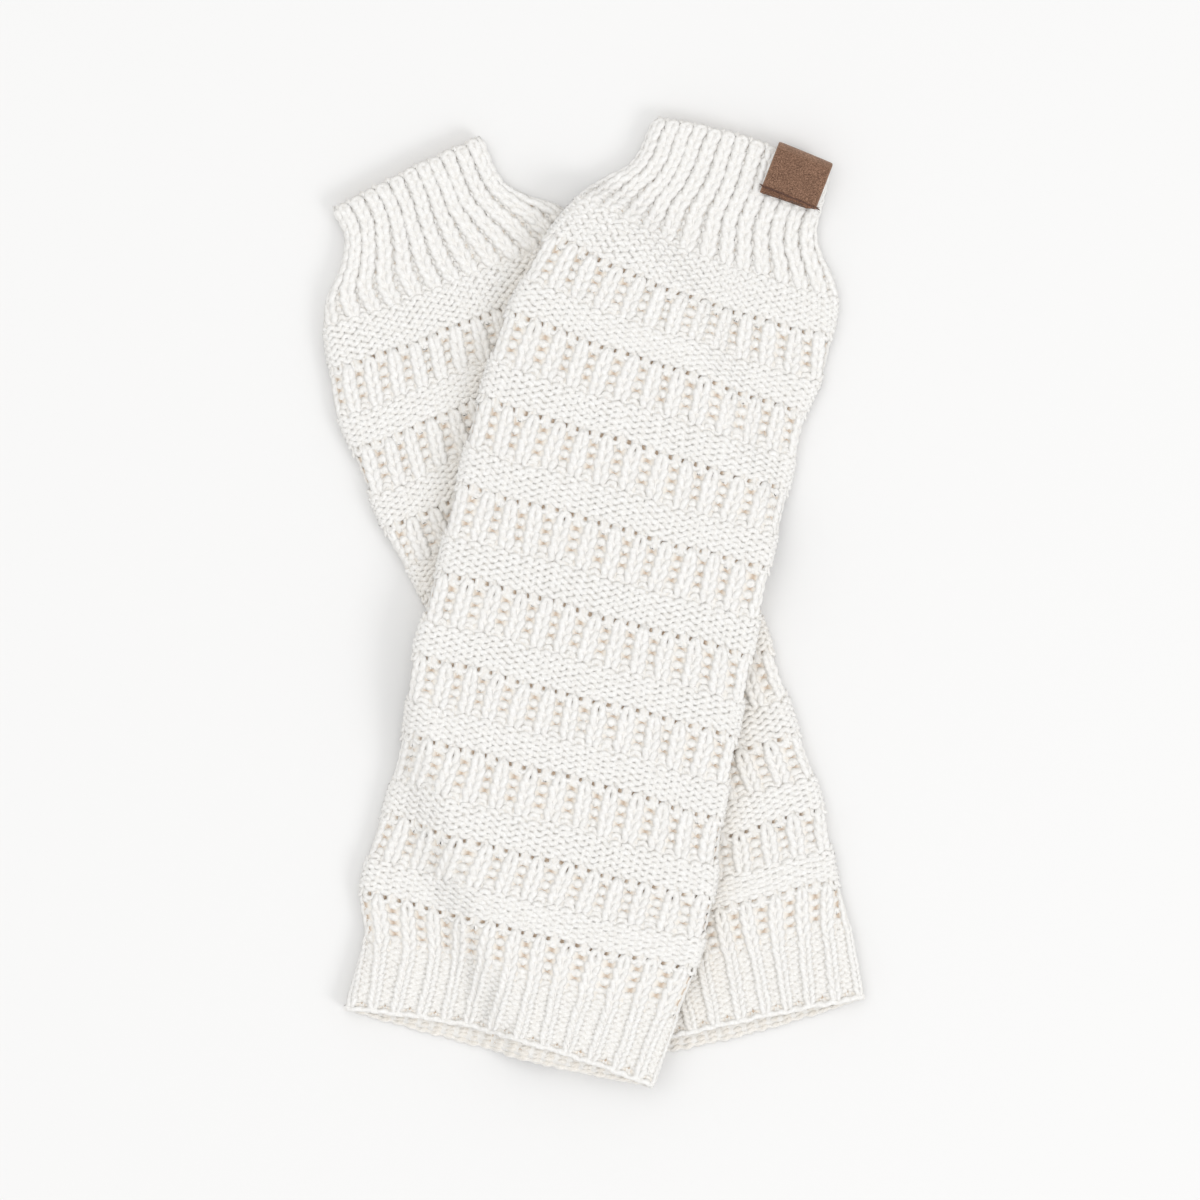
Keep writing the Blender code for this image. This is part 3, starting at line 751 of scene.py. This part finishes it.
# How many of the bands are in the higher piece
BANDS_HIGH = 4


def covered(tube, points):
    """Where the lower tube's top lies well under the upper tube."""
    if tube is UPPER:
        return np.zeros(len(points), bool)
    return outside(UPPER, points[:, 0], points[:, 1]) < -HIDDEN_INSIDE


def runs_of(flags):
    """The first stitch and the length of each run of like flags."""
    edges = [0] + [i for i in range(1, len(flags)) if flags[i] != flags[i - 1]] + [len(flags)]
    return [(start, stop - start, flags[start]) for start, stop in zip(edges, edges[1:])]


def knit_top(tube, courses, first, last, yarn):
    """The top side and both folds of some courses: coarser where they lie under the other tube."""
    for index in range(first, last):
        course = courses[index]
        numbers = np.arange(-ROUND_FOLD, STITCHES + ROUND_FOLD)
        around = (numbers + KNIT_CENTRE) / STITCHES % 2.0
        where, _normals = lay(tube, around, np.full(len(numbers), course.along), 1.0)
        seen = SEEN_PURL if course.kind == "purl" else SEEN
        for start, count, is_hidden in runs_of(list(covered(tube, where))):
            steps, sides = HIDDEN if is_hidden else seen
            loops = Loops(tube, courses, index, steps, start - ROUND_FOLD, count)
            yarn.add(*loops.path(), sides)


def knit_back(tube, courses, yarn):
    """The underside of all courses, finer at the hem, which shows under the front."""
    first, count = STITCHES + ROUND_FOLD, STITCHES - 2 * ROUND_FOLD
    for index in range(len(courses)):
        steps, sides = SEEN if index >= len(courses) - HEM_SEEN else BENEATH
        yarn.add(*Loops(tube, courses, index, steps, first, count).path(), sides)


def edge_strand(tube, yarn, stitches, above, depth, size):
    """A strand round part of the hem, some way above its end, that swells at every stitch."""
    first, count = stitches
    stitch = first + np.arange(count * EDGE_STEPS + 1) / EDGE_STEPS
    along = tube.stations[-1].along - EDGE_RADIUS - above + 0.25 * np.sin(2.0 * math.pi * stitch)
    along = along + 0.22 * np.sin(1.7 * stitch + above) + 0.15 * np.sin(4.3 * stitch + 1.0)
    depth = depth + 0.3 * np.cos(2.0 * math.pi * stitch)
    points, normals = lay(tube, stitch / STITCHES % 2.0, along, depth)
    radius = size * (1.0 + 0.2 * np.cos(2.0 * math.pi * stitch + 0.6) + 0.08 * np.sin(2.9 * stitch))
    # Their colour depth, which the material paints as shade, goes no deeper than the inner face's
    yarn.add(points, normals, radius, np.minimum(depth, INSIDE_SHADE_TINT), sides=6, flatten=0.8)


def bind_off(tube, yarn):
    """The bound edge round the hem, and the rows of its inner side that show behind the front."""
    edge_strand(tube, yarn, (0, ROUND), BOUND_ABOVE, BOUND_DEPTH, EDGE_RADIUS)
    for row in range(INSIDE_ROWS):
        above = INSIDE_ABOVE + INSIDE_PITCH * row
        edge_strand(tube, yarn, (STITCHES + 1, STITCHES - 2), above, INSIDE_DEPTH, INSIDE_RADIUS)


def make_leg_warmer(tube, material, cloth):
    """One leg warmer's cloth and its stitches, in pieces down its length."""
    shell = make_shell(tube, cloth)
    courses = courses_of(tube)
    kinds = [course.kind for course in courses]
    bands, hem = kinds.index("rib"), kinds.index("hem")
    middle = bands + BANDS_HIGH * (RIB_ROWS + PURL_ROWS)
    pieces = []
    for name, first, last in (("cuff", 0, bands), ("bands_high", bands, middle),
                              ("bands_low", middle, hem), ("hem", hem, len(courses))):
        yarn = YarnMesh()
        knit_top(tube, courses, first, last, yarn)
        if name == "hem":
            bind_off(tube, yarn)
        pieces.append(yarn.make(f"stitches_{tube.name}_{name}", material))
    yarn = YarnMesh()
    knit_back(tube, courses, yarn)
    pieces.append(yarn.make(f"stitches_{tube.name}_back", material))
    for piece in [shell] + pieces:
        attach(piece, "root")
        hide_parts(tube.node)
    return shell, pieces


# The leather patch: a strip folded over the upper tube's rim and sewn shut above its cut ends. Its
# left side, its width, its inner leaf's right side, how far down both leaves reach, its lean and
# its thickness
PATCH_LEFT, PATCH_WIDTH, PATCH_INSIDE_RIGHT = 15.9, 24.3, 35.7
PATCH_DROP, PATCH_INSIDE_DROP = 21.3, 19.3
PATCH_LEAN, PATCH_THICK = 0.125, 1.0
# The wraps over the rim: the distance below it, the rise above the leaf and how far it has turned
FRONT_WRAP = ((0.6, 0.0, 0.0), (-0.5, -0.5, 0.0), (-0.9, -1.6, 0.1))
INSIDE_WRAP = ((-0.9, 1.2, 0.7), (-0.6, 0.2, 1.0), (0.4, 0.0, 1.0))
# How far below the rim the wraps start, the front leaf ends and the inner leaf starts
WRAP_BELOW, LEAF_BELOW, INSIDE_BELOW = 3.0, 3.2, 5.0
# The height of the space inside the tube at the rim and further in, and how far in that is
CEILING_RIM, CEILING_INSIDE, MOUTH_DEPTH = 5.6, 5.0, 34.0
# The rows of points down the front and the inner leaf, and the steps across
LEAF_ROWS, INSIDE_LEAF_ROWS, PATCH_COLUMNS = 60, 6, 40
# The seam: how far below the rim it is, how deep and wide it sinks, and how thin the flap is below
SEAM_BELOW, SEAM_DEEP, SEAM_WIDE, FLAP_THIN = 18.5, 0.38, 0.55, 0.15
# The rounded edges: how far the sides stand out, how far the faces dip there and over what width,
# and how far they dip at the strip's ends
SIDE_OUT, SIDE_ROUND, SIDE_WIDE, END_ROUND = 0.14, 0.16, 0.35, 0.28
# The width of the rubbed sides and of the fold, lighter by wear and by a painted highlight, how far
# that lies below the leaf, the width of the seam's painted shade and the flap's painted shade
WORN_SIDE, FOLD_WEAR_AND_HIGHLIGHT, FOLD_WEAR_AND_HIGHLIGHT_BELOW = 0.3, 1.1, 0.9
SEAM_SHADE_WIDE, FLAP_SHADE = 0.5, 0.55
# How far the cut flap reaches below the seam, by share of the patch's width
FLAP_DROPS = ((0.0, 2.7), (0.06, 2.65), (0.21, 2.4), (0.38, 2.0), (0.54, 1.75), (0.67, 0.95),
              (0.78, 1.55), (0.88, 1.3), (1.0, 0.7))
# The thread: how far it shows beyond both sides of the patch, the taper of its ends, its half
# width, its loose ends' and the length of its stitches
THREAD_LEFT, THREAD_RIGHT, THREAD_TAPER = 1.5, 1.9, 0.7
THREAD_RADIUS, HAIR_RADIUS, THREAD_STITCH = 0.32, 0.12, 2.1
# The loose ends: where each starts, how far it reaches across and down, and how far it curls
LOOSE_ENDS = ((PATCH_WIDTH - 0.2, 2.6, 1.3, 0.5), (PATCH_WIDTH, 1.7, -0.5, -0.3),
              (0.2, -1.9, -0.9, 0.3), (0.0, -1.2, 0.7, 0.2))


def smoothed(path):
    """A path with its corners cut, by taking points a quarter and three quarters along each step."""
    low, high = 0.75 * path[:-1] + 0.25 * path[1:], 0.25 * path[:-1] + 0.75 * path[1:]
    cut = np.stack([low, high], axis=1).reshape(-1, path.shape[1])
    return np.concatenate([path[:1], cut, path[-1:]])


def patch_path():
    """The patch's inner face from its front edge to its inside edge: below the rim, height, turned."""
    front, inside = THICK + SEAM_GAP, CEILING_RIM - SEAM_GAP
    wraps = [(WRAP_BELOW, front, 0.0)]
    wraps += [(below, front + rise, turned) for below, rise, turned in FRONT_WRAP]
    wraps += [(below, inside + rise, turned) for below, rise, turned in INSIDE_WRAP]
    wraps = smoothed(smoothed(np.array(wraps + [(WRAP_BELOW, inside, 1.0)])))
    down = np.linspace(PATCH_DROP, LEAF_BELOW, LEAF_ROWS)
    leaf = np.stack([down, np.full(LEAF_ROWS, front), np.zeros(LEAF_ROWS)], axis=-1)
    down = np.linspace(INSIDE_BELOW, PATCH_INSIDE_DROP, INSIDE_LEAF_ROWS)
    ceiling = CEILING_RIM + (CEILING_INSIDE - CEILING_RIM) * smooth_step(down / MOUTH_DEPTH) - SEAM_GAP
    return np.concatenate([leaf, wraps, np.stack([down, ceiling, np.ones(INSIDE_LEAF_ROWS)], axis=-1)])


def patch_place(share, below, height, turned):
    """A place by the patch, in the part's frame. share is 0 at its left edge and 1 at its right."""
    first = UPPER.stations[0]
    front = PATCH_LEFT + share * PATCH_WIDTH
    inside = PATCH_LEFT + share * (PATCH_INSIDE_RIGHT - PATCH_LEFT)
    at_rim = front + (inside - front) * turned
    place = (2.0 * at_rim - first.left - first.right) / (first.right - first.left)
    rim = first.along + place * first.tilt + (1.0 - place ** 2) * first.bow
    rim = rim + rim_dent(UPPER, first.along, place)
    x, y = to_world(UPPER, at_rim - PATCH_LEAN * below, rim + below)
    return np.stack([x, y, height + CROWN * (1.0 - turned)], axis=-1)


def flap_drop(share):
    """How far the ragged flap reaches below the seam."""
    shares, drops = zip(*FLAP_DROPS)
    ragged = 0.32 * np.sin(31.0 * share) + 0.28 * np.sin(83.0 * share + 1.0)
    return np.interp(share, shares, drops) + ragged


def patch_ring(shares, place, ahead, is_end):
    """A ring of points round the strip at one place on its path, and how light and dark each is."""
    below, height, turned = place
    from_seam = below - SEAM_BELOW
    is_front = turned == 0.0
    is_flap = is_front and from_seam > 0.0
    side = SIDE_OUT / PATCH_WIDTH
    ring = np.concatenate([shares, [1.0 + side], shares[::-1], [-side]])
    border = np.minimum(shares, 1.0 - shares) * PATCH_WIDTH
    low = SIDE_ROUND * np.exp(-(border / SIDE_WIDE) ** 2) + (END_ROUND if is_end else 0.0)
    high = PATCH_THICK - low
    if is_front:
        groove = SEAM_DEEP * math.exp(-(from_seam / SEAM_WIDE) ** 2)
        high = high - groove - (FLAP_THIN if is_flap else 0.0)
    offset = np.concatenate([low, [PATCH_THICK / 2.0], high[::-1], [PATCH_THICK / 2.0]])
    drop = np.full(ring.shape, below)
    if is_flap:
        drop = SEAM_BELOW + from_seam / (PATCH_DROP - SEAM_BELOW) * flap_drop(np.clip(ring, 0.0, 1.0))
    points = patch_place(ring, drop + ahead[1] * offset, height + ahead[0] * offset, turned)
    from_side = np.minimum(ring + side, 1.0 + side - ring) * PATCH_WIDTH
    # The sides are lighter by wear, the fold by wear and a painted highlight; the seam and flap get
    # painted shade
    from_fold = height - THICK + FOLD_WEAR_AND_HIGHLIGHT_BELOW
    fold = math.exp(-(from_fold / FOLD_WEAR_AND_HIGHLIGHT) ** 2) if below < 1.0 else 0.0
    light = np.maximum(np.exp(-(from_side / WORN_SIDE) ** 2), fold)
    seam = math.exp(-(from_seam / SEAM_SHADE_WIDE) ** 2) if is_front else 0.0
    return points, light, np.full(ring.shape, max(seam, FLAP_SHADE if is_flap else 0.0))


def make_patch(material):
    """The folded leather strip, with rounded edges, a sewn groove and its ragged flap below it."""
    path = patch_path()
    ahead = unit(np.gradient(path[:, :2] * (-1.0, 1.0), axis=0))
    shares = np.linspace(0.0, 1.0, PATCH_COLUMNS + 1)
    last = len(path) - 1
    rings = [patch_ring(shares, path[row], ahead[row], row in (0, last)) for row in range(len(path))]
    points, light, dark = (np.concatenate(parts) for parts in zip(*rings))
    grid = np.arange(len(points)).reshape(len(path), -1)
    faces = tube_faces(grid).tolist() + [grid[0, ::-1].tolist(), grid[-1].tolist()]
    mesh = bpy.data.meshes.new("leather_patch")
    mesh.from_pydata((points * MM).tolist(), [], faces)
    return finish_mesh(mesh, {"light": light, "dark": dark}, material)


def make_thread(material):
    """The seam's dark thread, with its loose ends at both sides of the patch."""
    yarn = YarnMesh()
    up = np.array([0.0, 0.0, 1.0])
    across = np.linspace(-THREAD_LEFT, PATCH_WIDTH + THREAD_RIGHT, 150)
    inside = smooth_step(across / 0.8) * smooth_step((PATCH_WIDTH - across) / 0.8)
    stitched = 0.45 + 0.16 * np.sin(2.0 * math.pi * across / THREAD_STITCH)
    height = THICK + 0.55 + inside * stitched
    below = SEAM_BELOW + 0.10 * np.sin(across / 1.7) + 0.35 * (1.0 - inside) * np.sin(across)
    line = patch_place(across / PATCH_WIDTH, below, height, 0.0)
    ends = smooth_step((across + THREAD_LEFT) / THREAD_TAPER)
    ends = ends * smooth_step((PATCH_WIDTH + THREAD_RIGHT - across) / THREAD_TAPER)
    radius = THREAD_RADIUS * (0.25 + 0.75 * ends)
    yarn.add(line, up, radius, 0.0, sides=6, flatten=0.9)
    step = np.linspace(0.0, 1.0, 14)
    for start, reach, drop, curl in LOOSE_ENDS:
        below = SEAM_BELOW + drop * step ** 1.5 + curl * np.sin(math.pi * step)
        hair = patch_place((start + reach * step) / PATCH_WIDTH, below, THICK + 0.75 - 0.25 * step, 0.0)
        yarn.add(hair, up, HAIR_RADIUS * (1.15 - step), 0.0, sides=5, flatten=1.0)
    return yarn.make("seam_thread", material)


def leather_material():
    """Suede-like brown leather: mottled, lighter at its rubbed sides, lighter at its fold by wear and a
    painted highlight, and darker at its seam and flap with painted shade.
    """
    material, tree, shader = new_material("brown_leather", {
        "Roughness": 0.82, "Specular IOR Level": 0.3, "Sheen Weight": 0.15})
    place = node(tree, "ShaderNodeTexCoord").outputs["Object"]
    grain = noise_node(tree, place, scale=1750.0, detail=4.0, roughness=0.75)
    cloud = noise_node(tree, place, scale=160.0, detail=2.0, roughness=0.5)
    color = ramp(tree, grain, [(0.36, (0.075, 0.035, 0.021)), (0.5, (0.19, 0.10, 0.060)),
                               (0.64, (0.36, 0.21, 0.137))])
    shade = ramp(tree, cloud, [(0.35, (0.90, 0.89, 0.88)), (0.65, (1.06, 1.06, 1.06))])
    # Lighter at the rubbed sides and at the fold, which is lighter by wear and a painted highlight
    wear_and_highlight = node(tree, "ShaderNodeMix", data_type="RGBA")
    tree.links.new(math_node(tree, "MULTIPLY", attribute(tree, "light"), 0.35), wear_and_highlight.inputs["Factor"])
    tree.links.new(multiply_colors(tree, color, shade), wear_and_highlight.inputs["A"])
    wear_and_highlight.inputs["B"].default_value = (0.46, 0.31, 0.22, 1.0)
    # Painted shade in the seam's groove and on the flap
    dark = ramp(tree, attribute(tree, "dark"), [(0.0, (1.0, 1.0, 1.0)), (0.6, (0.84, 0.76, 0.72)),
                                                (1.0, (0.5, 0.4, 0.36))])
    tree.links.new(multiply_colors(tree, wear_and_highlight.outputs["Result"], dark), shader.inputs["Base Color"])
    fine = noise_node(tree, place, scale=3800.0, detail=3.0, roughness=0.6)
    add_bump(tree, shader, math_node(tree, "ADD", grain, fine), strength=0.45, distance=0.00022)
    return material


def thread_material():
    """Dark brown sewing thread, twisted, with painted shade between its plies."""
    material, tree, shader = new_material("brown_thread", {"Roughness": 0.7})
    # Darker where a ply lies low: painted shade between the plies
    raised = math_node(tree, "ADD", ply_height(tree, THREAD_TWIST), 1.0)
    color = ramp(tree, math_node(tree, "MULTIPLY", raised, 0.5),
                 [(0.0, (0.05, 0.022, 0.014)), (1.0, (0.15, 0.070, 0.046))])
    tree.links.new(color, shader.inputs["Base Color"])
    return material


def make_label():
    """The patch and its thread."""
    for piece in (make_patch(leather_material()), make_thread(thread_material())):
        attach(piece, "root")
        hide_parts("label")


def make_camera():
    """Straight above, as the photograph was taken."""
    data = bpy.data.cameras.new("camera")
    data.sensor_width = SENSOR_WIDTH
    middle = PHOTO_WIDTH / 2.0
    seen = PHOTO_WIDTH * MM_PER_PIXEL
    data.lens = SENSOR_WIDTH * (CAMERA_HEIGHT - THICK) / seen
    camera = bpy.data.objects.new("camera", data)
    camera.location = ((middle - ORIGIN_PIXEL[0]) * MM_PER_PIXEL * MM,
                       (ORIGIN_PIXEL[1] - middle) * MM_PER_PIXEL * MM, CAMERA_HEIGHT * MM)
    bpy.context.scene.collection.objects.link(camera)
    bpy.context.scene.camera = camera


def make_light(name, place, size, power, color):
    """A soft square light that looks at the middle of the part."""
    data = bpy.data.lights.new(name, "AREA")
    data.size = size
    data.energy = power
    data.color = color
    item = bpy.data.objects.new(name, data)
    item.location = place
    item.rotation_euler = (-Vector(place)).to_track_quat("-Z", "Y").to_euler()
    bpy.context.scene.collection.objects.link(item)


def make_stage():
    """A plain pale floor and soft studio light, the key from the lower right."""
    grid = bmesh.new()
    bmesh.ops.create_grid(grid, x_segments=2, y_segments=2, size=3.0)
    mesh = bpy.data.meshes.new("floor")
    grid.to_mesh(mesh)
    grid.free()
    floor = bpy.data.objects.new("floor", mesh)
    material, _tree, _shader = new_material("floor", {
        "Base Color": (0.822, 0.815, 0.805, 1.0), "Roughness": 0.9})
    mesh.materials.append(material)
    bpy.context.scene.collection.objects.link(floor)
    make_light("key", place=(2.6, -1.9, 2.5), size=1.5, power=39.0, color=(0.97, 0.98, 1.0))
    make_light("top", place=(-0.6, 0.6, 3.2), size=3.0, power=31.0, color=(0.995, 1.0, 1.0))
    world = bpy.data.worlds.new("studio")
    world.use_nodes = True
    back = world.node_tree.nodes["Background"]
    back.inputs["Color"].default_value = (0.99, 0.995, 1.0, 1.0)
    back.inputs["Strength"].default_value = 0.815
    bpy.context.scene.world = world
    bpy.context.scene.view_settings.view_transform = "Standard"


make_camera()
make_stage()
yarn_look = yarn_material("cream_yarn", plies=True)
cloth_look = yarn_material("cream_cloth", plies=False)
shell_lower, stitches_lower = make_leg_warmer(LOWER, yarn_look, cloth_look)
shell_upper, stitches_upper = make_leg_warmer(UPPER, yarn_look, cloth_look)
make_label()
